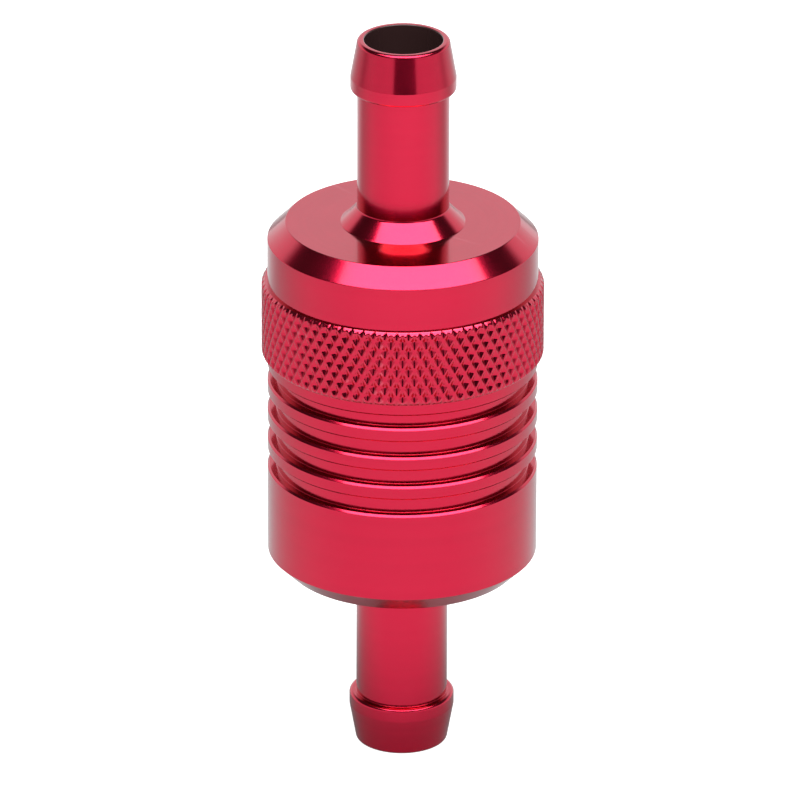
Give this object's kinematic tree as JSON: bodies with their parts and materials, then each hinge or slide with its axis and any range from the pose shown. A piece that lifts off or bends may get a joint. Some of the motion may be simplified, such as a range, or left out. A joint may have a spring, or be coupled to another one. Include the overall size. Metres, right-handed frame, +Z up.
{
  "type": "in-line fuel filter",
  "caption": "Turned in-line fuel filter: a knurled cap screws onto a grooved body, a barbed hose tail on each end and a spring-held mesh element inside.",
  "frame": {"origin": "centre of the outlet hose tail's end face, which is the lowest face and the one that the filter stands on", "axes": "+Z up the axis that every piece turns about, from the outlet towards the inlet; X and Y square to it"},
  "size_m": [0.0286, 0.0286, 0.077],
  "materials": {
    "red_anodising": "satin red anodised aluminium with fine turning marks",
    "clear_anodising": "satin clear anodised aluminium",
    "stainless_sheet": "rolled stainless sheet",
    "wire_mesh": "woven stainless wire",
    "spring_wire": "drawn stainless spring wire",
    "seal_rubber": "smooth black fuel-resistant rubber"
  },
  "bodies": {
    "housing": {"outlet_body": "red_anodising"},
    "element": {"element_outlet_collar": "clear_anodising", "element_core": "stainless_sheet", "element_mesh": "wire_mesh", "element_end_cap": "clear_anodising", "element_o_ring": "seal_rubber", "element_spring": "spring_wire"},
    "seat": {"spring_seat": "stainless_sheet"},
    "seal": {"cap_o_ring": "seal_rubber"},
    "cap": {"inlet_cap": "red_anodising"}
  },
  "joints": [
    {"name": "element_lift", "type": "slide", "parent": "housing", "child": "element", "axis": [0, 0, 1], "range_m": [0, 0.032]},
    {"name": "cap_travel", "type": "slide", "parent": "element", "child": "seat", "axis": [0, 0, 1], "range_m": [0, 0.006], "deforming": ["element_spring"]},
    {"name": "cap_lift", "type": "slide", "parent": "seat", "child": "seal", "axis": [0, 0, 1], "range_m": [0, 0.03]},
    {"name": "cap_unscrew", "type": "hinge", "parent": "seal", "child": "cap", "pos_m": [0, 0, 0.0488], "axis": [0, 0, 1], "range_deg": [0, 2160]}
  ],
  "couplings": [
    {"joint": "cap_travel", "follows": "cap_unscrew", "m_per_rad": 0.00015915}
  ]
}
